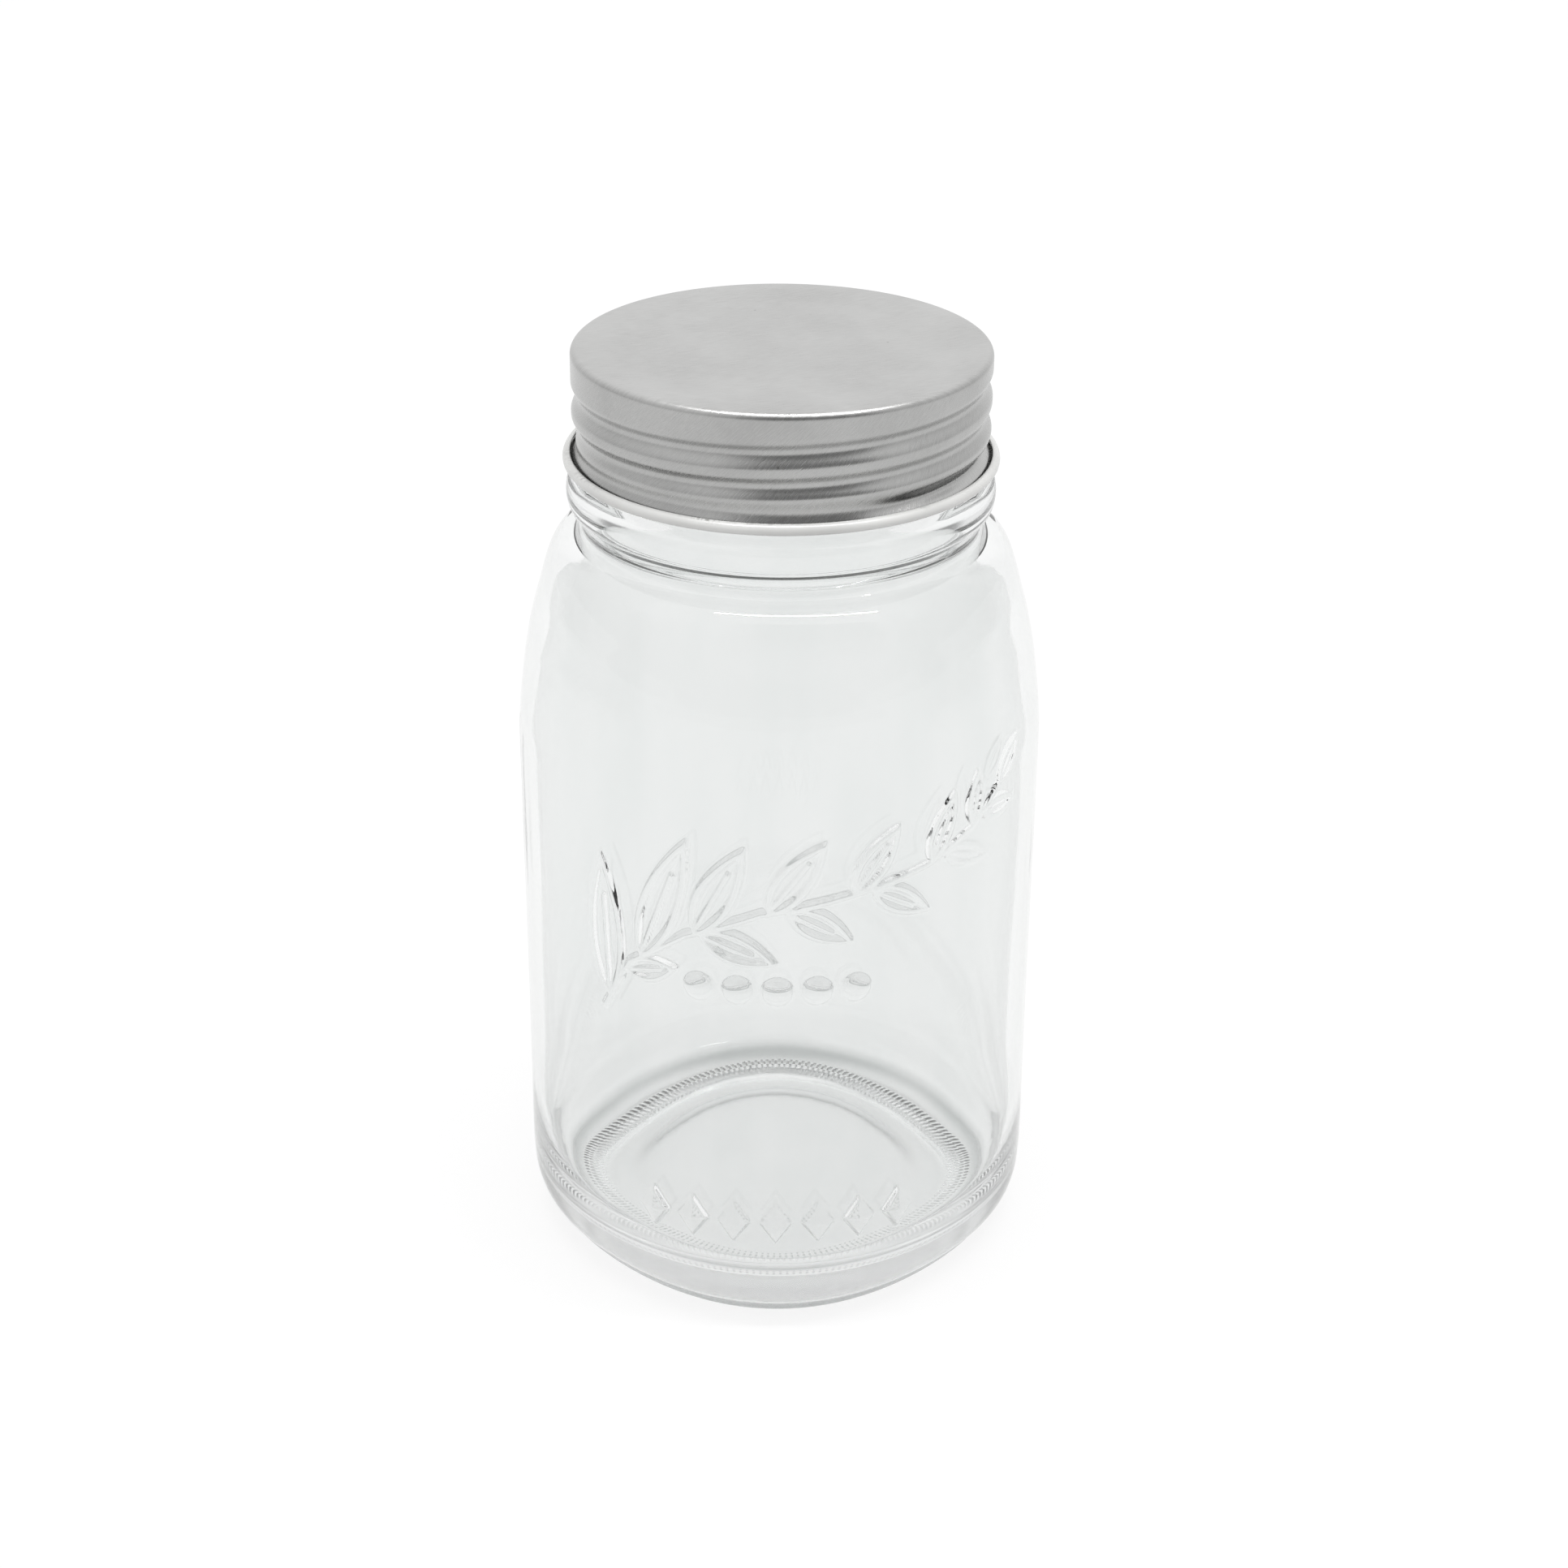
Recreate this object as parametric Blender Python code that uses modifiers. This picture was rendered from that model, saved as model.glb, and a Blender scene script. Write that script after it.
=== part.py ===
# Screw-top storage jar: a turned glass body, a one-piece rolled tin lid and its sealing ring.
import bpy
import bmesh
from math import atan2, cos, hypot, pi, radians, sin, tau
from mathutils import Matrix

for item in list(bpy.data.objects):
    bpy.data.objects.remove(item, do_unlink=True)

# Driving dimensions, in metres
total_height = 0.1722
body_radius = 0.0473
body_wall = 0.0030
base_glass = 0.0035
push_up = 0.0027

lid_radius = 0.0365
lid_height = 0.0206
sheet = 0.0003          # tinplate thickness
curl_radius = 0.0010    # outside of the rolled hem
thread_pitch = 0.0058
valley_depth = 0.0012
valley_half_width = 0.0020
panel_radius = 0.0265
panel_sink = 0.0004

ring_thick = 0.0010
ring_inner = 0.0313

# Clearances
rest_gap = 0.0003       # between pieces that touch
bore_clear = 0.0004     # rolled valley to the plain glass finish
crest_clear = 0.00035   # glass thread to the lid wall

# Fits worked out from the above
lid_inner = lid_radius - sheet
finish_radius = lid_inner - valley_depth - bore_clear
crest_radius = lid_inner - crest_clear
mouth_radius = finish_radius - 0.0046
ring_outer = lid_inner - 0.0007
ring_top = total_height - sheet - rest_gap
rim_top = ring_top - ring_thick - rest_gap
lid_bottom = total_height - lid_height
bead_top = lid_bottom - 0.0020
bead_radius = lid_radius + 0.0012
neck_radius = lid_radius - 0.0011
neck_inside = mouth_radius + 0.0012
neck_base = bead_top - 0.0092
shoulder_drop = 0.0382
body_top = neck_base - shoulder_drop
inside = body_radius - body_wall
inner_floor = push_up + base_glass

glass_steps = 64
lid_steps = 48
valley_low = lid_bottom + 0.0034     # height of the lowest rolled valley at +X
valley_top = total_height - 0.0046
valley_from = radians(-75)
valley_to = tau * (valley_top - valley_low) / thread_pitch
ridge_from = radians(-30)
ridge_to = valley_to - tau * (0.5 + 0.0020 / thread_pitch)


def collection(name):
    group = bpy.data.collections.new(name)
    bpy.context.scene.collection.children.link(group)
    return group


jar_parts = collection("mason_jar")
tools = collection("construction")


def material(name, colour, rough, metal=0.0, transmission=0.0):
    made = bpy.data.materials.new(name)
    made.use_nodes = True
    shader = made.node_tree.nodes["Principled BSDF"]
    shader.inputs["Base Color"].default_value = (*colour, 1.0)
    shader.inputs["Roughness"].default_value = rough
    shader.inputs["Metallic"].default_value = metal
    shader.inputs["Transmission Weight"].default_value = transmission
    return made


def place(name, mesh, group, made=None):
    thing = bpy.data.objects.new(name, mesh)
    group.objects.link(thing)
    if made:
        mesh.materials.append(made)
    return thing


def turned(name, profile, steps, group, made=None, closed=False):
    """A profile of (radius, height) points turned about Z; it runs down its outer side."""
    mesh = bpy.data.meshes.new(name)
    count = len(profile)
    edges = [(i, i + 1) for i in range(count - 1)]
    if closed:
        edges.append((count - 1, 0))
    mesh.from_pydata([(r, 0.0, z) for r, z in profile], edges, [])
    thing = place(name, mesh, group, made)
    screw = thing.modifiers.new("turn", "SCREW")
    screw.angle = tau
    screw.steps = steps
    screw.render_steps = steps
    screw.use_merge_vertices = True
    screw.merge_threshold = 0.00001
    screw.use_smooth_shade = True
    return thing


def hide_tool(thing):
    thing.hide_render = True
    thing.display_type = "WIRE"


def clamp01(value):
    return max(0.0, min(1.0, value))


# Glass jar; a shoulder is (share of its drop, share of its growth in radius)
outer_shoulder = [(0.00, 0.00), (0.03, 0.09), (0.055, 0.27), (0.085, 0.38), (0.13, 0.47), (0.21, 0.56),
                  (0.315, 0.65), (0.445, 0.76), (0.60, 0.86), (0.785, 0.94), (0.92, 0.985), (1.00, 1.00)]
inner_shoulder = [(1.00, 1.00), (0.92, 0.98), (0.80, 0.93), (0.62, 0.85), (0.47, 0.755), (0.33, 0.65),
                  (0.22, 0.54), (0.14, 0.42), (0.07, 0.235), (0.00, 0.085)]


def shoulder(shares, neck, body):
    return [(neck + grown * (body - neck), neck_base - drop * shoulder_drop) for drop, grown in shares]


profile = [(0.0, inner_floor), (0.42 * body_radius, inner_floor - 0.0003),
           (0.70 * body_radius, inner_floor - 0.0002), (0.80 * body_radius, inner_floor + 0.0012),
           (inside - 0.0025, inner_floor + 0.0042), (inside - 0.0006, inner_floor + 0.0088),
           (inside, inner_floor + 0.0140)]
profile += shoulder(inner_shoulder, neck_inside, inside)
profile += [(neck_inside, neck_base + 0.0016), (mouth_radius + 0.0008, neck_base + 0.0060),
            (mouth_radius + 0.0002, bead_top + 0.0030), (mouth_radius, rim_top - 0.0012),
            (mouth_radius + 0.0007, rim_top - 0.0003), (mouth_radius + 0.0018, rim_top),
            (finish_radius - 0.0018, rim_top), (finish_radius - 0.0006, rim_top - 0.0004),
            (finish_radius, rim_top - 0.0014), (finish_radius, bead_top + 0.0006),
            (bead_radius - 0.0011, bead_top - 0.0001), (bead_radius - 0.0002, bead_top - 0.0012),
            (bead_radius, bead_top - 0.0034), (bead_radius - 0.0003, bead_top - 0.0052),
            (bead_radius - 0.0013, bead_top - 0.0063), (neck_radius, bead_top - 0.0068)]
profile += shoulder(outer_shoulder, neck_radius, body_radius)
profile += [(body_radius, 0.0125), (body_radius - 0.0004, 0.0084),
            (body_radius - 0.0015, 0.0046), (body_radius - 0.0032, 0.0019), (body_radius - 0.0050, 0.0004),
            (body_radius - 0.0062, 0.0), (body_radius - 0.0096, 0.0), (body_radius - 0.0112, 0.0006),
            (body_radius - 0.0150, push_up - 0.0008), (0.42 * body_radius, push_up - 0.0001), (0.0, push_up)]
glass = material("clear_glass", (0.93, 0.96, 0.96), 0.02, transmission=1.0)
jar = turned("glass_jar", profile, glass_steps, jar_parts, glass)

# Its screw thread, a ridge that winds up the finish with faded ends
ridge_steps = 60
sunk = finish_radius - 0.0012
crest = crest_radius - sunk
section = [(0.0, -0.0015), (crest, -0.0006), (crest, 0.0006), (0.0, 0.0015)]
ridge_sweep = ridge_to - ridge_from
ridge_low = valley_low + thread_pitch * (0.5 + ridge_from / tau)
bm = bmesh.new()
first = bm.faces.new([bm.verts.new((sunk + out, 0.0, ridge_low + up)) for out, up in section])
bmesh.ops.rotate(bm, verts=bm.verts, cent=(0, 0, 0), matrix=Matrix.Rotation(ridge_from, 3, "Z"))
swept = bmesh.ops.spin(bm, geom=[first] + first.edges[:] + first.verts[:], cent=(0, 0, 0), axis=(0, 0, 1),
                       dvec=(0, 0, thread_pitch * ridge_sweep / tau / ridge_steps), angle=ridge_sweep,
                       steps=ridge_steps, use_duplicate=False)
fade = radians(22)
for v in bm.verts:
    reach = hypot(v.co.x, v.co.y)
    along = tau * ((v.co.z - valley_low) / thread_pitch - 0.5)
    ends = clamp01(min(along - ridge_from, ridge_to - along) / fade)
    if reach > sunk + 0.0001:
        kept = (sunk + 0.0004 + (reach - sunk - 0.0004) * ends) / reach
        v.co.x, v.co.y = v.co.x * kept, v.co.y * kept
bmesh.ops.recalc_face_normals(bm, faces=bm.faces)
ridge_mesh = bpy.data.meshes.new("thread_ridge")
bm.to_mesh(ridge_mesh)
bm.free()
ridge = place("thread_ridge", ridge_mesh, tools, glass)
hide_tool(ridge)
join = jar.modifiers.new("thread", "BOOLEAN")
join.operation = "UNION"
join.solver = "EXACT"
join.object = ridge

# Screw lid, one sheet: panel, rim, rolled wall and a hem curled outwards
rim_bend = 0.0012
path = [(0.0, total_height - panel_sink), (0.014, total_height - panel_sink),
        (panel_radius, total_height - panel_sink), (panel_radius + 0.0055, total_height)]
rim_centre = (lid_radius - rim_bend, total_height - rim_bend)
path += [(rim_centre[0] + rim_bend * sin(radians(a)), rim_centre[1] + rim_bend * cos(radians(a)))
         for a in (0, 30, 60, 90)]
metal_curl = curl_radius - sheet
curl_centre = (lid_radius + metal_curl, lid_bottom + curl_radius)
wall_rows = 22
wall_top = total_height - rim_bend
path += [(lid_radius, wall_top + (curl_centre[1] - wall_top) * i / wall_rows) for i in range(1, wall_rows + 1)]
path += [(curl_centre[0] - metal_curl * cos(radians(a)), curl_centre[1] - metal_curl * sin(radians(a)))
         for a in (36, 72, 108, 144, 180, 216, 252, 290)]
bm = bmesh.new()
points = [bm.verts.new((r, 0.0, z)) for r, z in path]
links = [bm.edges.new(pair) for pair in zip(points, points[1:])]
bmesh.ops.spin(bm, geom=points + links, cent=(0, 0, 0), axis=(0, 0, 1), angle=tau, steps=lid_steps, use_merge=True)
bmesh.ops.remove_doubles(bm, verts=bm.verts, dist=0.00001)


def valley(angle, height):
    """Depth of the rolled thread below the lid wall."""
    deepest = 0.0
    turn = valley_from + (angle - valley_from) % tau
    while turn < valley_to:
        off = abs(height - valley_low - thread_pitch * turn / tau)
        if off < valley_half_width:
            ends = clamp01(min(turn - valley_from, valley_to - turn) / radians(35))
            deepest = max(deepest, valley_depth * ends * (0.5 + 0.5 * cos(pi * off / valley_half_width)))
        turn += tau
    return deepest


skirt_free = curl_centre[1] + 0.0007
for v in bm.verts:
    reach = hypot(v.co.x, v.co.y)
    if abs(reach - lid_radius) < 0.00005 and v.co.z > skirt_free:
        kept = 1 - valley(atan2(v.co.y, v.co.x), v.co.z) * clamp01((v.co.z - skirt_free) / 0.0012) / reach
        v.co.x, v.co.y = v.co.x * kept, v.co.y * kept
bmesh.ops.recalc_face_normals(bm, faces=bm.faces)
if sum(f.normal.z * f.calc_area() for f in bm.faces if hypot(*f.calc_center_median().xy) < panel_radius) < 0:
    bmesh.ops.reverse_faces(bm, faces=bm.faces)
for f in bm.faces:
    f.smooth = True
lid_mesh = bpy.data.meshes.new("screw_lid")
bm.to_mesh(lid_mesh)
bm.free()
tin = material("brushed_tinplate", (0.62, 0.62, 0.61), 0.34, metal=1.0)
lid = place("screw_lid", lid_mesh, jar_parts, tin)
skin = lid.modifiers.new("sheet", "SOLIDIFY")
skin.thickness = sheet
skin.offset = -1.0
skin.use_even_offset = True

# Sealing ring, flowed into the lid over the glass rim
seal = material("sealing_compound", (0.86, 0.86, 0.84), 0.55)
turned("sealing_ring", [(ring_inner + 0.0006, ring_top), (ring_outer - 0.0003, ring_top),
                        (ring_outer, ring_top - 0.0003), (ring_outer, ring_top - ring_thick + 0.0002),
                        (ring_outer - 0.0003, ring_top - ring_thick), (ring_inner + 0.0003, ring_top - ring_thick),
                        (ring_inner, ring_top - 0.0006)], lid_steps, jar_parts, seal, closed=True)
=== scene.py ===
from math import atan2, ceil, cos, exp, hypot, pi, radians, sin, tau
import bmesh
import bpy
from mathutils import Matrix, Vector, noise


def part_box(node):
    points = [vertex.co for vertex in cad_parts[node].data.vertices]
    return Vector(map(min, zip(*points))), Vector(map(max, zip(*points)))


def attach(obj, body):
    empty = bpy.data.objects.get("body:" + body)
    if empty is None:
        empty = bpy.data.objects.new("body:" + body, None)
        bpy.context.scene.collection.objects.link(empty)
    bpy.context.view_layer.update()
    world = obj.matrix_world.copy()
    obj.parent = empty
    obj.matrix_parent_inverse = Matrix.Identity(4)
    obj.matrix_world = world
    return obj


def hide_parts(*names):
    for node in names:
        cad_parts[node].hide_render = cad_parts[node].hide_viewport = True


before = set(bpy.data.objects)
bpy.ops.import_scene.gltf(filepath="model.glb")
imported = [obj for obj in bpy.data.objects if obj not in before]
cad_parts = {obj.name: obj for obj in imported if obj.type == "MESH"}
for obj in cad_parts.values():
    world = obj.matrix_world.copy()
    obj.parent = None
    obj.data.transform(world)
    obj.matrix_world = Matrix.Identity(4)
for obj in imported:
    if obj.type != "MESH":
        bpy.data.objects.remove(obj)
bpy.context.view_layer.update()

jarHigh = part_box("glass_jar")[1]
lidLow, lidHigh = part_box("screw_lid")
sealLow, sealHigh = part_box("sealing_ring")
mm = 0.001
bodyRadius = jarHigh[0]
rimTop = jarHigh[2]
lidTop = lidHigh[2]
lidBottom = lidLow[2]
sealTop = sealHigh[2]
sealBottom = sealLow[2]
threadPitch = 5.8 * mm
valleyLow = lidTop - 17.2 * mm  # height of the lowest rolled valley at +X
lidRadius = 36.5 * mm
weldGap = 0.002 * mm


def smoothStep(value, low=0.0, high=1.0):
    t = max(0.0, min(1.0, (value - low) / (high - low)))
    return t * t * (3 - 2 * t)


def smoothPath(points, step):
    # a Catmull-Rom curve through (radius, height) points, in steps of about the given length
    pts = [Vector(p) for p in points]
    pts = [2 * pts[0] - pts[1]] + pts + [2 * pts[-1] - pts[-2]]
    path = [pts[1]]
    for a, b, c, d in zip(pts, pts[1:], pts[2:], pts[3:]):
        count = max(1, ceil((c - b).length / step))
        gaps = [max((q - p).length, 1e-6) ** 0.5 for p, q in ((a, b), (b, c), (c, d))]
        slopeB = ((b - a) / gaps[0] - (c - a) / (gaps[0] + gaps[1]) + (c - b) / gaps[1]) * gaps[1]
        slopeC = ((c - b) / gaps[1] - (d - b) / (gaps[1] + gaps[2]) + (d - c) / gaps[2]) * gaps[1]
        for i in range(1, count + 1):
            t = i / count
            path.append((2 * t ** 3 - 3 * t ** 2 + 1) * b + (t ** 3 - 2 * t ** 2 + t) * slopeB
                        + (3 * t ** 2 - 2 * t ** 3) * c + (t ** 3 - t ** 2) * slopeC)
    return [(max(p.x, 0.0), p.y) for p in path]


def evenPath(points, step):
    # straight runs between (radius, height) points, cut into steps
    path = [points[0]]
    for (r0, z0), (r1, z1) in zip(points, points[1:]):
        count = max(1, ceil(hypot(r1 - r0, z1 - z0) / step))
        path += [(r0 + (r1 - r0) * i / count, z0 + (z1 - z0) * i / count) for i in range(1, count + 1)]
    return path


def arcPath(centre, radius, start, stop, count):
    # angles in degrees, counted from straight up towards +X
    return [(centre[0] + radius * sin(radians(start + (stop - start) * i / count)),
             centre[1] + radius * cos(radians(start + (stop - start) * i / count))) for i in range(count + 1)]


def spun(bm, path, steps, closed=False):
    # a full turn of a (radius, height) path about Z; closed joins the path's two ends first
    points = [bm.verts.new((r, 0.0, z)) for r, z in path]
    edges = [bm.edges.new(pair) for pair in zip(points, points[1:])]
    if closed:
        edges.append(bm.edges.new((points[-1], points[0])))
    bmesh.ops.spin(bm, geom=points + edges, cent=(0, 0, 0), axis=(0, 0, 1), angle=tau, steps=steps,
                   use_merge=True)
    bmesh.ops.remove_doubles(bm, verts=bm.verts, dist=weldGap)
    bmesh.ops.recalc_face_normals(bm, faces=bm.faces)


def addPiece(name, bm, body, node, materials):
    mesh = bpy.data.meshes.new(name)
    bm.to_mesh(mesh)
    bm.free()
    mesh.shade_smooth()
    for made in materials:
        mesh.materials.append(made)
    piece = bpy.data.objects.new(name, mesh)
    bpy.context.scene.collection.objects.link(piece)
    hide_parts(node)
    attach(piece, body)
    print(f"{name}: {len(mesh.polygons)} faces")
    return piece


class Sock:
    # one output socket; maths on it adds its nodes
    def __init__(self, tree, out):
        self.tree = tree
        self.out = out

    def node(self, kind, settings=None, result=0, **values):
        # values are inputs by name, or by number as n0, n1 and so on; result is the output's number
        made = self.tree.nodes.new("ShaderNode" + kind)
        for key, value in (settings or {}).items():
            setattr(made, key, value)
        for key, value in values.items():
            target = made.inputs[int(key[1:])] if key[0] == "n" and key[1:].isdigit() else made.inputs[key]
            if isinstance(value, Sock):
                self.tree.links.new(value.out, target)
            else:
                target.default_value = value
        return Sock(self.tree, made.outputs[result])

    def maths(self, operation, *others):
        values = {f"n{i + 1}": other for i, other in enumerate(others)}
        return self.node("Math", {"operation": operation}, n0=self, **values)

    def __add__(self, other):
        return self.maths("ADD", other)

    __radd__ = __add__

    def __sub__(self, other):
        return self.maths("SUBTRACT", other)

    def __rsub__(self, other):
        return self.node("Math", {"operation": "SUBTRACT"}, n0=other, n1=self)

    def __mul__(self, other):
        return self.maths("MULTIPLY", other)

    __rmul__ = __mul__

    def ramp(self, low, high):
        # 0 at low, 1 at high, smooth between
        return self.node("MapRange", {"interpolation_type": "SMOOTHSTEP"}, n0=self, n1=low, n2=high)

    def parts(self):
        made = self.node("SeparateXYZ", n0=self)
        owner = made.out.node
        return [Sock(self.tree, owner.outputs[i]) for i in range(3)]

    def vector(self, x, y, z):
        return self.node("CombineXYZ", n0=x, n1=y, n2=z)

    def noise(self, place, scale, detail=2.0, rough=0.5):
        return self.node("TexNoise", Vector=place, Scale=scale, Detail=detail, Roughness=rough)

    def blend(self, first, second):
        # two colours mixed by this socket
        made = self.tree.nodes.new("ShaderNodeMix")
        made.data_type = "RGBA"
        self.tree.links.new(self.out, made.inputs[0])
        for target, value in ((made.inputs[6], first), (made.inputs[7], second)):
            if isinstance(value, Sock):
                self.tree.links.new(value.out, target)
            else:
                target.default_value = (*value, 1.0)
        return Sock(self.tree, made.outputs[2])


def startMaterial(name, **constants):
    made = bpy.data.materials.new(name)
    made.use_nodes = True
    tree = made.node_tree
    shader = tree.nodes["Principled BSDF"]
    for key, value in constants.items():
        shader.inputs[key.replace("_", " ")].default_value = value
    coords = tree.nodes.new("ShaderNodeTexCoord")
    place = Sock(tree, coords.outputs["Object"])
    place = place.node("VectorMath", {"operation": "SCALE"}, n0=place, Scale=1 / mm)  # now in millimetres
    return made, shader, place


def finishShader(shader, place, colour=None, rough=None, height=None, bump=0.2, metal=None):
    for key, value in (("Base Color", colour), ("Roughness", rough), ("Metallic", metal)):
        if value is not None:
            place.tree.links.new(value.out, shader.inputs[key])
    if height is not None:
        normal = place.node("Bump", Strength=bump, Distance=0.1 * mm, Height=height)
        place.tree.links.new(normal.out, shader.inputs["Normal"])


# The glass jar is one closed shell, turned from its profile.
jarForm = {
    "wall": 3.0 * mm,
    "floor": 3.5 * mm,
    "pushUp": 2.7 * mm,
    "finish": 34.6 * mm,       # plain radius behind the thread
    "mouth": 30.0 * mm,
    "bead": lidRadius + 1.2 * mm,
    "neck": lidRadius - 1.4 * mm,
    "beadTop": lidBottom - 2.0 * mm,
    "neckDrop": 9.2 * mm,      # from the bead's top to the narrowest part of the neck
    "shoulderDrop": 38.2 * mm,
    "steps": 192,              # round the jar
    "innerStep": 2.6 * mm,     # along the profile
    "outerStep": 1.25 * mm,
    "threadStep": 0.42 * mm,
    "threadHigh": 1.25 * mm,
    "threadWide": 1.45 * mm,
    "threadFrom": radians(-30),
    "threadTo": radians(480),
    "threadFade": radians(25),
    "seam": 0.09 * mm,         # mould seams at the two sides
    "seamWide": 0.25 * mm,
    "squareness": 0.040,       # how much the foot flattens between its four soft corners
    "squareBelow": 26 * mm,
    "unevenness": 0.16 * mm,   # of the blown inner wall
}
# The shoulder's two faces, as shares of its drop and of the way from neck to body.
outerShoulder = [(0.03, 0.09), (0.055, 0.27), (0.085, 0.38), (0.13, 0.47), (0.21, 0.56), (0.315, 0.65),
                 (0.445, 0.76), (0.60, 0.86), (0.785, 0.94), (0.92, 0.985), (1.0, 1.0)]
innerShoulder = [(1.0, 1.0), (0.92, 0.98), (0.80, 0.93), (0.62, 0.85), (0.47, 0.755), (0.33, 0.65),
                 (0.22, 0.54), (0.14, 0.42), (0.07, 0.235)]


def jarProfile(f):
    # inside from the middle of the floor to the rim, then down the outside to the middle of the base
    beadTop = f["beadTop"]
    neckBase = beadTop - f["neckDrop"]
    inside = bodyRadius - f["wall"]
    neckInside = f["mouth"] + 1.2 * mm
    floor = f["pushUp"] + f["floor"]

    def shoulder(shares, neck, body):
        return [(neck + grown * (body - neck), neckBase - drop * f["shoulderDrop"]) for drop, grown in shares]

    inner = [(0.0, floor + 0.5 * mm), (10 * mm, floor + 0.3 * mm), (20 * mm, floor - 0.1 * mm),
             (27 * mm, floor), (33 * mm, floor + 0.3 * mm), (38 * mm, floor + 1.3 * mm),
             (inside - 3.0 * mm, floor + 3.2 * mm), (inside - 1.0 * mm, floor + 6.5 * mm),
             (inside, floor + 10.5 * mm), (inside, floor + 36 * mm)]
    inner += shoulder(innerShoulder, neckInside, inside)
    inner += [(neckInside, neckBase + 1.6 * mm), (f["mouth"] + 0.8 * mm, neckBase + 6 * mm),
              (f["mouth"] + 0.2 * mm, beadTop + 3 * mm), (f["mouth"], rimTop - 1.4 * mm),
              (f["mouth"] + 0.6 * mm, rimTop - 0.35 * mm), (f["mouth"] + 1.8 * mm, rimTop),
              (f["finish"] - 1.8 * mm, rimTop), (f["finish"] - 0.6 * mm, rimTop - 0.4 * mm),
              (f["finish"], rimTop - 1.5 * mm), (f["finish"], rimTop - 3 * mm)]
    outer = [(f["finish"], beadTop + 2.4 * mm), (f["finish"] + 0.15 * mm, beadTop + 1.1 * mm),
             (f["bead"] - 1.3 * mm, beadTop + 0.1 * mm),
             (f["bead"] - 0.4 * mm, beadTop - 0.7 * mm), (f["bead"], beadTop - 2.2 * mm),
             (f["bead"], beadTop - 3.8 * mm), (f["bead"] - 0.5 * mm, beadTop - 5.3 * mm),
             (f["bead"] - 1.6 * mm, beadTop - 6.4 * mm), (f["neck"] + 0.6 * mm, beadTop - 7.5 * mm),
             (f["neck"], neckBase + 0.4 * mm)]
    outer += shoulder(outerShoulder, f["neck"], bodyRadius)
    foot = [(bodyRadius, neckBase - f["shoulderDrop"] - 20 * mm), (bodyRadius, 30 * mm),
            (bodyRadius, 12.5 * mm), (bodyRadius - 0.35 * mm, 8.4 * mm), (bodyRadius - 1.2 * mm, 5.4 * mm),
            (bodyRadius - 2.2 * mm, 3.7 * mm), (bodyRadius - 3.0 * mm, 3.0 * mm),
            (bodyRadius - 3.4 * mm, 2.4 * mm), (bodyRadius - 4.1 * mm, 1.0 * mm),
            (bodyRadius - 5.2 * mm, 0.25 * mm), (bodyRadius - 6.2 * mm, 0.0), (bodyRadius - 9.6 * mm, 0.0),
            (bodyRadius - 11.2 * mm, 0.4 * mm), (bodyRadius - 15 * mm, f["pushUp"] - 1.3 * mm),
            (28 * mm, f["pushUp"] - 0.95 * mm), (25 * mm, f["pushUp"] - 0.4 * mm),
            (22 * mm, f["pushUp"] - 0.22 * mm), (10 * mm, f["pushUp"] - 0.03 * mm), (0.0, f["pushUp"])]
    finish = evenPath([inner[-1], outer[0]], f["threadStep"])[1:-1]   # fine steps for the thread
    return smoothPath(inner, f["innerStep"]) + finish + smoothPath(outer + foot, f["outerStep"])


# Relief on the front: a leafy sprig, a row of round beads, and a row of faceted lozenges by the foot.
# Places are millimetres along the wall from the middle of the front, and height above the base.
relief = {
    "high": 1.15 * mm,
    "flatter": 0.75,           # share of that height lost towards the sides
    "flatterFrom": 14 * mm,
    "flatterTo": 40 * mm,
    "areas": [(-44, 56, 56, 112), (-30, 30, 16, 31)],   # left, right, bottom and top of each ornament's area
    "parting": 40,             # lozenges below this height, sprig and beads above
    "margin": 1.1,             # fine mesh kept round each shape
    "cuts": 4,
    "stem": [(-33, 62), (-27, 73), (-16, 81), (-3, 86.5), (12, 89.5), (27, 92.5), (37, 96.5), (44, 102)],
    "stemWide": 1.0,
    "outline": 1.05,
    "leaves": [  # foot of the leaf along the stem (0 to 1), lean from the stem in degrees, length, half width
        (0.03, 32, 29, 4.4), (0.17, 34, 27, 4.2), (0.12, -46, 11, 3.0), (0.30, 40, 20, 3.9),
        (0.31, -44, 15, 3.4), (0.44, 42, 17, 3.6), (0.47, -42, 14, 3.2), (0.58, 44, 15, 3.3),
        (0.61, -42, 14, 3.0), (0.72, 44, 14, 3.0), (0.76, -42, 13, 2.8), (0.86, 44, 11, 2.7),
        (0.90, -40, 11, 2.6), (1.0, 4, 11, 2.6)],
    "beads": {"count": 5, "pitch": 6.9, "height": 71.0, "radius": 2.8, "bold": 1.25},
    "lozenges": {"count": 7, "pitch": 7.6, "height": 23.2, "wide": 3.3, "tall": 4.9, "bold": 1.45},
}


def stemPoint(share):
    # the point at that share of the stem, and the stem's direction there
    points = [Vector(p) for p in relief["stem"]]
    along = share * (len(points) - 1)
    i = min(int(along), len(points) - 2)
    return points[i].lerp(points[i + 1], along - i), (points[i + 1] - points[i]).normalized()


def capsule(p, a, b):
    # distance from p to the run a-b
    run = b - a
    t = max(0.0, min(1.0, (p - a).dot(run) / run.length_squared))
    return (p - a - t * run).length


def softTop(depth, edge):
    # a rounded pillow: 0 at its outline, 1 well inside it
    t = max(0.0, min(1.0, depth / edge))
    return 0.4 * smoothStep(t) + 0.6 * (1 - (1 - t) ** 2)


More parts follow.
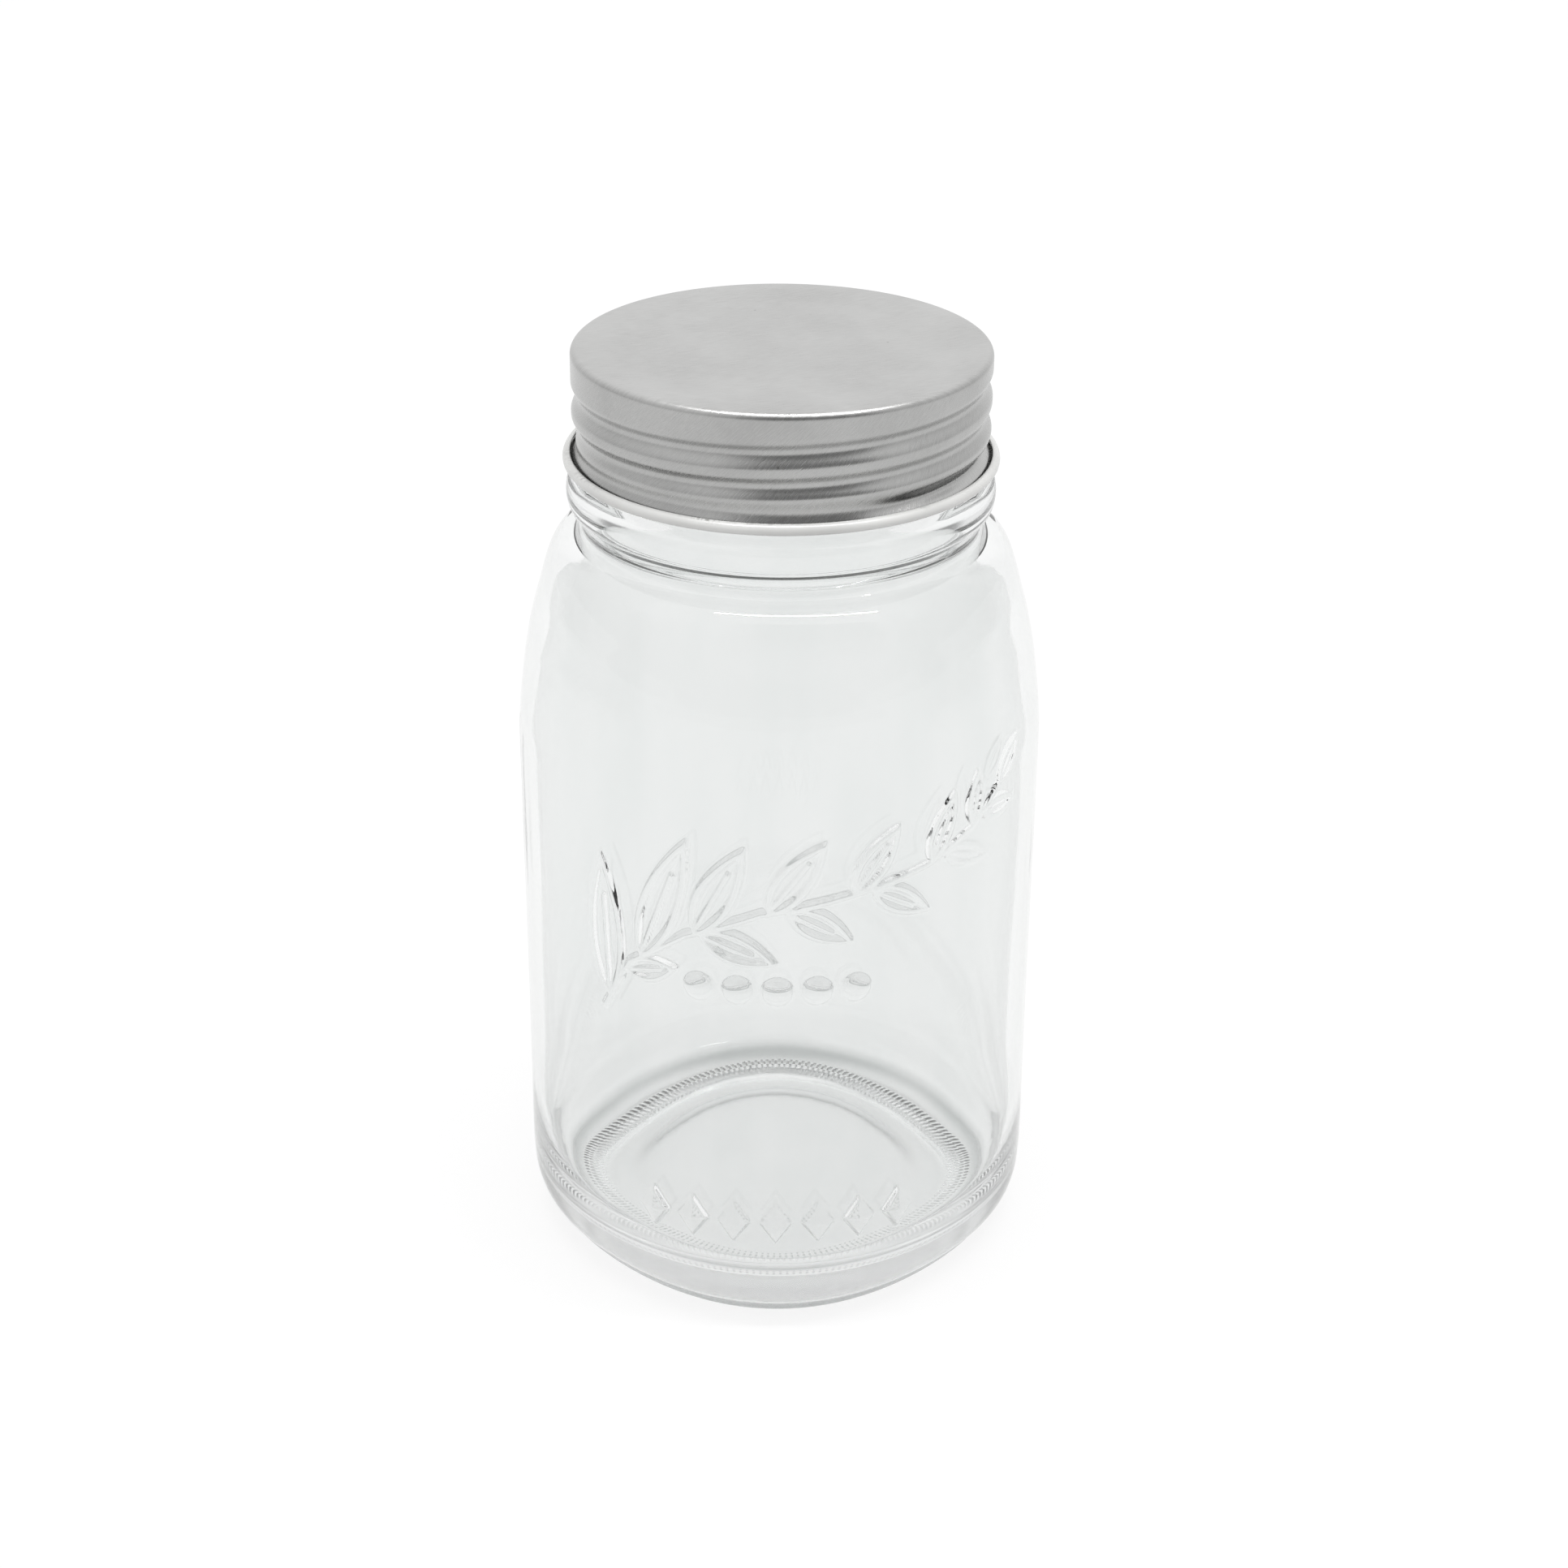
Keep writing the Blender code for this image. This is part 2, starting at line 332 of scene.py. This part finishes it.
def leafHeight(p, leaf):
    # a raised outline and a rib, with the blade left flat
    foot, along, length, wide = leaf
    reach = (p - foot).dot(along)
    if reach < 0 or reach > length:
        return 0.0
    side = abs((p.x - foot.x) * along.y - (p.y - foot.y) * along.x)
    t = reach / length
    outline = wide * sin(pi * t ** 0.8) ** 0.75
    line = relief["outline"]
    rim = softTop(line - abs(outline - line - side), line)
    rib = softTop(0.75 * line - side, line) * (t < 0.7)
    return max(rim if side < outline else 0.0, rib)


leafShapes = []
for share, lean, length, wide in relief["leaves"]:
    foot, along = stemPoint(share)
    leafShapes.append((foot, Matrix.Rotation(radians(lean), 2) @ along, length, wide))


def reliefHeight(s, z):
    # the ornament's height at a place in millimetres, as a share of its full height
    p = Vector((s, z))
    best = 0.0
    lozenges, beads = relief["lozenges"], relief["beads"]
    if z < relief["parting"]:
        for i in range(lozenges["count"]):
            off = s - lozenges["pitch"] * (i - (lozenges["count"] - 1) / 2)
            inside = 1 - abs(off) / lozenges["wide"] - abs(z - lozenges["height"]) / lozenges["tall"]
            best = max(best, 0.35 * softTop(inside, 0.3) + 0.65 * inside)
        return best * lozenges["bold"]
    for i in range(beads["count"]):
        middle = beads["pitch"] * (i - (beads["count"] - 1) / 2)
        off = hypot(s - middle, z - beads["height"]) / beads["radius"]
        best = max(best, beads["bold"] * (1 - min(off, 1.0) ** 2) ** 0.6)
    stem = [Vector(q) for q in relief["stem"]]
    for a, b in zip(stem, stem[1:]):
        best = max(best, softTop(relief["stemWide"] - capsule(p, a, b), 1.0))
    for leaf in leafShapes:
        if (p - leaf[0]).length < leaf[2] + 1:
            best = max(best, leafHeight(p, leaf))
    return best


def threadHeight(angle, z, f):
    # the right-hand thread on the finish, faded out at its ends
    best = 0.0
    turn = f["threadFrom"] + (angle - f["threadFrom"]) % tau
    while turn < f["threadTo"]:
        off = abs(z - valleyLow - threadPitch * (0.5 + turn / tau)) / f["threadWide"]
        if off < 1:
            ends = smoothStep(min(turn - f["threadFrom"], f["threadTo"] - turn) / f["threadFade"])
            best = max(best, ends * smoothStep(1 - off, 0.0, 0.72))
        turn += tau
    return best * f["threadHigh"]


def shapeJar(v, f):
    # moves one vertex of the turned jar to where the mould and the blowing put it
    x, y, z = v.co
    reach, angle = hypot(x, y), atan2(y, x)
    outside = reach > bodyRadius - 1.5 * mm or z < 1.5 * mm
    grow = 0.0
    if reach > f["finish"] - 0.1 * mm and rimTop - 1.2 * mm > z > f["beadTop"] + 1.5 * mm:
        grow += threadHeight(angle, z, f)
    low = smoothStep(1 - z / f["squareBelow"]) * smoothStep(reach, 0.3 * bodyRadius, 0.8 * bodyRadius)
    grow -= f["squareness"] * bodyRadius * low * (0.5 - 0.5 * cos(4 * angle))
    if reach < bodyRadius - 2.2 * mm and 12 * mm < z < f["beadTop"] - 12 * mm:
        wave = noise.noise(Vector((cos(angle) * 1.3, sin(angle) * 1.3, z * 22)))
        grow += wave * f["unevenness"] * smoothStep(z, 12 * mm, 30 * mm)
    if outside and z > 6 * mm:
        grow += f["seam"] * exp(-(reach * (pi / 2 - abs(abs(angle) - pi / 2)) / f["seamWide"]) ** 2)
    if reach:
        v.co = (x * (reach + grow) / reach, y * (reach + grow) / reach, max(z, 0.0))


def inRelief(edge):
    # true where the front's outer wall carries ornament
    a, b = (v.co for v in edge.verts)
    mid = (a + b) / 2
    if hypot(mid.x, mid.y) < bodyRadius - 0.6 * mm or mid.y > 0:
        return False
    s = bodyRadius * atan2(mid.x, -mid.y) / mm
    z = mid.z / mm
    if not any(left < s < right and bottom < z < top for left, right, bottom, top in relief["areas"]):
        return False
    margin = relief["margin"]
    return any(reliefHeight(s + i * margin, z + k * margin) > 0 for i in (-1, 0, 1) for k in (-1, 0, 1))


def buildJar(materials):
    f = jarForm
    bm = bmesh.new()
    spun(bm, jarProfile(f), f["steps"])
    for v in bm.verts:
        shapeJar(v, f)
    fine = [e for e in bm.edges if inRelief(e)]
    bmesh.ops.subdivide_edges(bm, edges=fine, cuts=relief["cuts"], use_grid_fill=True)
    for v in bm.verts:
        if v.co.y < 0 and 15 * mm < v.co.z < 114 * mm and hypot(v.co.x, v.co.y) > bodyRadius - 0.7 * mm:
            s = bodyRadius * atan2(v.co.x, -v.co.y)
            out = reliefHeight(s / mm, v.co.z / mm) * relief["high"]
            out *= 1 - relief["flatter"] * smoothStep(abs(s), relief["flatterFrom"], relief["flatterTo"])
            if out:
                away = Vector((v.co.x, v.co.y, 0)).normalized()
                v.co += away * out
    return addPiece("jar_glass", bm, "jar", "glass_jar", materials)


# The lid is one sheet, with helical rolled valleys in its wall and an outward curl at its hem.
lidForm = {
    "sheet": 0.3 * mm,
    "rimBend": 1.2 * mm,
    "panel": 26.5 * mm,
    "panelSink": 0.4 * mm,
    "curl": 1.0 * mm,
    "flare": 0.7 * mm,             # how far the wall is drawn in just above the curl
    "flareFull": 2.4 * mm,         # heights above the curl's middle where it is deepest and where it ends
    "flareGone": 5.6 * mm,
    "valleyDeep": 1.1 * mm,
    "valleyHalf": 2.6 * mm,
    "valleyFrom": radians(-75),
    "valleyTo": radians(780),
    "valleyFade": radians(40),
    "plainHem": 0.6 * mm,          # wall above the curl that no valley reaches
    "wallStep": 0.26 * mm,
    "topStep": 0.9 * mm,
    "steps": 256,
}


def valleyDepth(angle, z, f):
    # how far the helical valley presses the wall in, faded out at its ends
    best = 0.0
    turn = f["valleyFrom"] + (angle - f["valleyFrom"]) % tau
    while turn < f["valleyTo"]:
        off = abs(z - valleyLow - threadPitch * turn / tau) / f["valleyHalf"]
        if off < 1:
            ends = smoothStep(min(turn - f["valleyFrom"], f["valleyTo"] - turn) / f["valleyFade"])
            best = max(best, ends * (0.5 + 0.5 * cos(pi * off)))
        turn += tau
    return best * f["valleyDeep"]


def lidPath(f):
    sunk = lidTop - f["panelSink"]
    top = [(0.0, sunk), (13 * mm, sunk), (f["panel"] - 1.5 * mm, sunk), (f["panel"], sunk + 0.02 * mm),
           (f["panel"] + 1.4 * mm, sunk + 0.12 * mm), (f["panel"] + 4.2 * mm, lidTop - 0.09 * mm),
           (f["panel"] + 5.6 * mm, lidTop), (f["panel"] + 7 * mm, lidTop)]
    path = smoothPath(top, f["topStep"])
    rim = f["rimBend"]
    path += arcPath((lidRadius - rim, lidTop - rim), rim, 0, 90, 8)
    roll = f["curl"] - f["sheet"]
    centre = (lidRadius + roll, lidBottom + f["curl"])
    full, gone = centre[1] + f["flareFull"], centre[1] + f["flareGone"]
    wall = evenPath([(lidRadius, lidTop - rim), (lidRadius, centre[1])], f["wallStep"])[1:]
    path += [(r - f["flare"] * smoothStep(z, centre[1], full) * (1 - smoothStep(z, full, gone)), z)
             for r, z in wall]
    path += arcPath(centre, roll, 270, -20, 18)[1:]
    return path


def buildLid(materials):
    f = lidForm
    bm = bmesh.new()
    spun(bm, lidPath(f), f["steps"])
    free = lidBottom + f["curl"] + f["plainHem"]
    for v in bm.verts:
        reach = hypot(v.co.x, v.co.y)
        if lidRadius - 0.9 * mm < reach < lidRadius + 0.03 * mm and lidTop - 1.3 * mm > v.co.z > free:
            angle = atan2(v.co.y, v.co.x)
            inward = valleyDepth(angle, v.co.z, f) * smoothStep(v.co.z, free - 0.4 * mm, free + 1.0 * mm)
            v.co.x *= 1 - inward / reach
            v.co.y *= 1 - inward / reach
    top = min(bm.faces, key=lambda face: face.calc_center_median().xy.length)
    if top.normal.z < 0:
        bmesh.ops.reverse_faces(bm, faces=bm.faces)
    lid = addPiece("lid_tin", bm, "lid", "screw_lid", materials)
    skin = lid.modifiers.new("sheet", "SOLIDIFY")
    skin.thickness = f["sheet"]
    skin.offset = -1.0
    skin.use_even_offset = True
    skin.material_offset = 1      # the lacquered side
    skin.material_offset_rim = 0
    return lid


# The sealing ring is flowed compound, with a shallow groove where the glass rim presses.
sealForm = {
    "inner": 31.3 * mm,
    "outer": 35.5 * mm,
    "groove": 0.16 * mm,
    "steps": 192,
    "pathStep": 0.15 * mm,
}


def buildSeal(materials):
    f = sealForm
    middle = (f["inner"] + f["outer"]) / 2
    section = [(f["inner"] + 0.7 * mm, sealTop), (f["outer"] - 0.5 * mm, sealTop),
               (f["outer"] - 0.08 * mm, sealTop - 0.2 * mm), (f["outer"], sealTop - 0.5 * mm),
               (f["outer"] - 0.2 * mm, sealBottom + 0.1 * mm), (f["outer"] - 0.8 * mm, sealBottom),
               (middle + 0.7 * mm, sealBottom + f["groove"]), (middle - 0.7 * mm, sealBottom + f["groove"]),
               (f["inner"] + 0.9 * mm, sealBottom), (f["inner"] + 0.25 * mm, sealBottom + 0.2 * mm),
               (f["inner"], sealBottom + 0.55 * mm), (f["inner"] + 0.3 * mm, sealTop - 0.1 * mm)]
    bm = bmesh.new()
    spun(bm, smoothPath(section, f["pathStep"]), f["steps"], closed=True)
    return addPiece("seal_compound", bm, "seal", "sealing_ring", materials)


# Finishes, each with its look above it. Their patterns are measured in millimetres.
glassLook = {
    "tint": (0.895, 0.903, 0.900),
    "streak": (0.870, 0.883, 0.879),
    "edge": (0.52, 0.53, 0.525),      # seen along the wall
    "foot": (0.34, 0.36, 0.355),      # painted shade: the heel drawn darker in place of the contact shadow under the foot
    "dots": (0.45, 0.47, 0.46),       # painted shade on the knurls of the bearing ring
    "knurls": 190,                    # round the ring
    "knurlInner": (34.6, 35.1),
    "knurlOuter": (40.2, 40.8),
    "knurlTop": (0.9, 1.4),
    "frost": 0.20,                    # roughness of the underside
    "frostTop": (2.3, 3.4),
    "ior": 1.5,
    "waves": 0.15,
}


def clearGlass():
    look = glassLook
    made, shader, place = startMaterial("clear_glass", IOR=look["ior"], Transmission_Weight=1.0)
    x, y, z = place.parts()
    broad = place.noise(place, 0.035, 1.5)  # slow swell left by the blowing
    skin = place.noise(place, 0.32, 2.0)    # fine mould skin
    drawn = place.noise(place.vector(x * 0.09, y * 0.09, z * 0.018), 1.0, 3.0)  # cords drawn down the wall
    radius = (x * x + y * y).maths("SQRT")
    around = y.maths("ARCTAN2", x)
    # the knurled ring follows the foot's soft corners
    square = radius * (1.045 - (around * 4).maths("COSINE") * 0.045)
    base = ((1 - z.ramp(*look["knurlTop"])) * square.ramp(*look["knurlInner"])
            * (1 - square.ramp(*look["knurlOuter"])))
    dots = (around * look["knurls"]).maths("SINE") * (square * 1.05).maths("SINE").maths("ABSOLUTE")
    under = 1 - z.ramp(*look["frostTop"])
    # painted shade: a mask over the heel that darkens the glass there in place of the contact shadow
    heelShade = (1 - z.ramp(1.5, 5.0)) * radius.ramp(39.0, 43.0)
    height = broad * 2.2 + skin * 0.22 + drawn * 1.4 + base * dots * 45.0
    grazing = place.node("LayerWeight", result=1, Blend=0.35).ramp(0.45, 1.0)  # more glass on the way
    colour = drawn.ramp(0.35, 0.75).blend(look["tint"], look["streak"])
    colour = heelShade.blend(grazing.blend(colour, look["edge"]), look["foot"])
    # painted shade: the knurls of the bearing ring are darkened in the colour
    colour = (base * dots.ramp(0.15, 0.5)).blend(colour, look["dots"])
    rough = 0.004 + skin * 0.012 + under * look["frost"]
    finishShader(shader, place, colour, rough, height, look["waves"])
    return made


tinLook = {
    "colour": (0.47, 0.47, 0.465),
    "dark": (0.37, 0.37, 0.365),
    "speck": (0.16, 0.16, 0.15),
    "rough": 0.26,
    "grain": 0.24,
}


def brushedTin():
    look = tinLook
    made, shader, place = startMaterial("brushed_tin", Metallic=1.0)
    x, y, z = place.parts()
    arc = y.maths("ARCTAN2", x) * (lidRadius / mm)
    top = z.ramp((lidTop - 1.3 * mm) / mm, (lidTop - 0.3 * mm) / mm)
    wallLines = place.vector(arc * 0.75 + z * 0.75, (arc - z) * 7.0, 0.0)  # scratches lean across the wall
    topLines = place.vector((x * 0.9 + y * 0.35) * 0.8, (y * 0.9 - x * 0.35) * 7.0, 0.0)
    wallGrain = place.noise(wallLines, 0.5, 4.0, 0.65)
    topGrain = place.noise(topLines, 0.42, 4.0, 0.6)
    grain = wallGrain * (1 - top) + topGrain * top
    deep = (1 - top) * place.noise(place.vector(arc * 0.5 + z * 0.4, (arc * 0.8 - z) * 3.2, 3.0),
                                   0.5, 2.0).ramp(0.64, 0.78)
    cloudy = place.noise(place, 0.06, 3.0)
    specks = 1 - place.node("TexVoronoi", {"feature": "F1"}, Vector=place, Scale=0.12).ramp(0.015, 0.035)
    colour = (grain * 0.7 + cloudy * 0.5).ramp(0.35, 0.85).blend(look["dark"], look["colour"])
    rough = look["rough"] + (grain - 0.5) * 0.20 + (cloudy - 0.5) * 0.06 + top * 0.05 - deep * 0.05
    speckled = (specks * 0.6).blend(colour, look["speck"])
    finishShader(shader, place, speckled, rough, grain - deep * 0.6, look["grain"])
    return made


lacquerLook = {
    "colour": (0.56, 0.56, 0.55),
    "aged": (0.50, 0.50, 0.49),
    "bare": (0.40, 0.40, 0.39),       # tin where the edge of the hem is chipped
    # painted shade: the lacquer inside the lid is drawn darker, as the lid shades its own inside
    "inside": (0.36, 0.36, 0.35),
    "coat": 0.25,
    "coatRough": 0.12,
}


def whiteLacquer():
    look = lacquerLook
    made, shader, place = startMaterial("white_lacquer", Coat_Weight=look["coat"],
                                        Coat_Roughness=look["coatRough"])
    x, y, z = place.parts()
    arc = y.maths("ARCTAN2", x) * (lidRadius / mm)
    skin = place.noise(place, 0.7, 3.0)
    cloudy = place.noise(place, 0.09, 2.0)
    hem = lidBottom / mm
    edge = z.ramp(hem + 1.35, hem + 2.0) * (1 - z.ramp(hem + 2.2, hem + 2.6))
    patch = place.noise(place.vector(arc * 0.10, 0.0, 5.0), 0.55, 2.0).ramp(0.52, 0.66)
    chips = edge * patch * place.noise(place.vector(arc, z, 0.0), 1.6, 3.0, 0.7).ramp(0.47, 0.56)
    colour = cloudy.ramp(0.3, 0.8).blend(look["colour"], look["aged"])
    # painted shade: above the curl, inside the lid, the lacquer turns darker
    colour = z.ramp(hem + 2.4, hem + 3.2).blend(colour, look["inside"])
    finishShader(shader, place, chips.blend(colour, look["bare"]), 0.30 + skin * 0.12 + chips * 0.15,
                 skin * 0.5 - chips * 2.0, 0.12, chips * 0.8)
    return made


compoundLook = {
    "colour": (0.80, 0.80, 0.78),
    "aged": (0.72, 0.72, 0.69),
    "softness": 0.1,
    "depth": 0.5 * mm,
}


def sealCompound():
    look = compoundLook
    made, shader, place = startMaterial("seal_compound", Subsurface_Weight=look["softness"],
                                        Subsurface_Scale=look["depth"])
    skin = place.noise(place, 1.1, 3.0)
    flow = place.noise(place, 0.13, 2.0)
    finishShader(shader, place, flow.ramp(0.35, 0.75).blend(look["colour"], look["aged"]),
                 0.46 + skin * 0.16, skin * 0.8 + flow * 1.2, 0.25)
    return made


glass, tin, lacquer, compound = clearGlass(), brushedTin(), whiteLacquer(), sealCompound()
print("finishes made")
jar = buildJar([glass])
lid = buildLid([tin, lacquer])
seal = buildSeal([compound])


# The studio is a lit white table in a soft tent, with a strip lamp overhead.
studio = {
    "floor": 12.0,
    "floorDrop": 0.2 * mm,        # a hair below the glass, so the two never share a face
    "floorColour": (0.10, 0.10, 0.10),
    "floorGlow": 0.87,            # strong, so the jar throws only a faint shadow
    "skyLow": 0.72,
    "skyHigh": 1.08,
    "skyBack": 0.32,
    "strip": {"size": (1.0, 0.03), "height": 1.25, "place": (0.13, -0.11), "power": 11.0},
    "cards": [  # middle, size, turn about Z in degrees, grey level, seen in reflections, seen through glass
        ((0.11, -0.30, 0.34), (0.62, 0.42), 0, 0.18, True, False),
        ((-0.55, 0.05, 0.22), (0.80, 0.44), 90, 0.30, False, True),
        ((0.55, 0.05, 0.22), (0.80, 0.44), 90, 0.30, False, True)],
    "bounces": 32,                # light winds many times through the thick foot
}
camera = {
    "place": (0.0006, -0.4882, lidTop + 0.1584),
    "down": 26.45,
    "right": 0.037,
    "roll": 0.44,
    "lens": 67.78,
    "sensor": 36.0,
}


def buildFloor():
    bm = bmesh.new()
    bmesh.ops.create_grid(bm, x_segments=2, y_segments=2, size=studio["floor"])
    mesh = bpy.data.meshes.new("studio_floor")
    bm.to_mesh(mesh)
    bm.free()
    floor = bpy.data.objects.new("studio_floor", mesh)
    bpy.context.scene.collection.objects.link(floor)
    made, shader, place = startMaterial("studio_floor", Roughness=0.9, Specular_IOR_Level=0.1,
                                        Emission_Color=(1, 1, 1, 1), Emission_Strength=studio["floorGlow"])
    soft = place.noise(place, 0.01, 2.0)
    paper = soft.ramp(0.2, 0.8).blend(studio["floorColour"], tuple(c * 0.99 for c in studio["floorColour"]))
    finishShader(shader, place, paper)
    mesh.materials.append(made)
    floor.location.z = -studio["floorDrop"]


def buildLights():
    world = bpy.data.worlds.new("soft_tent")
    bpy.context.scene.world = world
    world.use_nodes = True
    tree = world.node_tree
    coords = Sock(tree, tree.nodes.new("ShaderNodeTexCoord").outputs["Generated"])
    _, y, z = coords.parts()
    # brighter overhead and behind the jar
    overhead = z.ramp(-0.1, 1.0) * (studio["skyHigh"] - studio["skyLow"])
    level = studio["skyLow"] + overhead + y.ramp(0.2, 1.0) * studio["skyBack"]
    tree.nodes["Background"].inputs["Color"].default_value = (1, 1, 1, 1)
    tree.links.new(level.out, tree.nodes["Background"].inputs["Strength"])
    strip = bpy.data.lights.new("overhead_strip", "AREA")
    strip.shape = "RECTANGLE"
    strip.size, strip.size_y = studio["strip"]["size"]
    strip.energy = studio["strip"]["power"]
    lamp = bpy.data.objects.new("overhead_strip", strip)
    lamp.location = (*studio["strip"]["place"], studio["strip"]["height"])
    bpy.context.scene.collection.objects.link(lamp)


def buildCard(name, middle, size, turn, level, mirrored, through):
    # a grey card out of the camera's sight: it gives the tin and the glass their darker lines
    bm = bmesh.new()
    bmesh.ops.create_grid(bm, x_segments=1, y_segments=1, size=0.5)
    bmesh.ops.scale(bm, verts=bm.verts, vec=(size[0], size[1], 1.0))
    bmesh.ops.rotate(bm, verts=bm.verts, cent=(0, 0, 0), matrix=Matrix.Rotation(radians(90), 3, "X"))
    mesh = bpy.data.meshes.new(name)
    bm.to_mesh(mesh)
    bm.free()
    card = bpy.data.objects.new(name, mesh)
    card.matrix_world = Matrix.Translation(middle) @ Matrix.Rotation(radians(turn), 4, "Z")
    bpy.context.scene.collection.objects.link(card)
    made, shader, place = startMaterial(name, Roughness=0.9, Base_Color=(level, level, level, 1.0))
    u, _, w = place.parts()
    wide, tall = size[0] / (2 * mm), size[1] / (2 * mm)
    across = 1 - u.maths("ABSOLUTE").ramp(wide * 0.45, wide)
    upward = 1 - w.maths("ABSOLUTE").ramp(tall * 0.5, tall)
    fade = across * upward  # soft edges
    place.tree.links.new(fade.out, shader.inputs["Alpha"])
    mesh.materials.append(made)
    card.visible_camera = False
    card.visible_diffuse = False
    card.visible_glossy = mirrored
    card.visible_transmission = through
    card.visible_shadow = False


def buildCamera():
    data = bpy.data.cameras.new("view")
    data.lens = camera["lens"]
    data.sensor_width = camera["sensor"]
    eye = bpy.data.objects.new("view", data)
    turn = (Matrix.Rotation(radians(-camera["right"]), 4, "Z")
            @ Matrix.Rotation(radians(90 - camera["down"]), 4, "X")
            @ Matrix.Rotation(radians(camera["roll"]), 4, "Z"))
    eye.matrix_world = Matrix.Translation(camera["place"]) @ turn
    bpy.context.scene.collection.objects.link(eye)
    bpy.context.scene.camera = eye


buildFloor()
for i, card in enumerate(studio["cards"]):
    buildCard(f"grey_card_{i + 1}", *card)
buildLights()
buildCamera()
bpy.context.scene.view_settings.view_transform = "Standard"
bpy.context.scene.cycles.max_bounces = studio["bounces"]
bpy.context.scene.cycles.transmission_bounces = studio["bounces"]
bpy.context.scene.cycles.glossy_bounces = studio["bounces"]
print("studio ready")
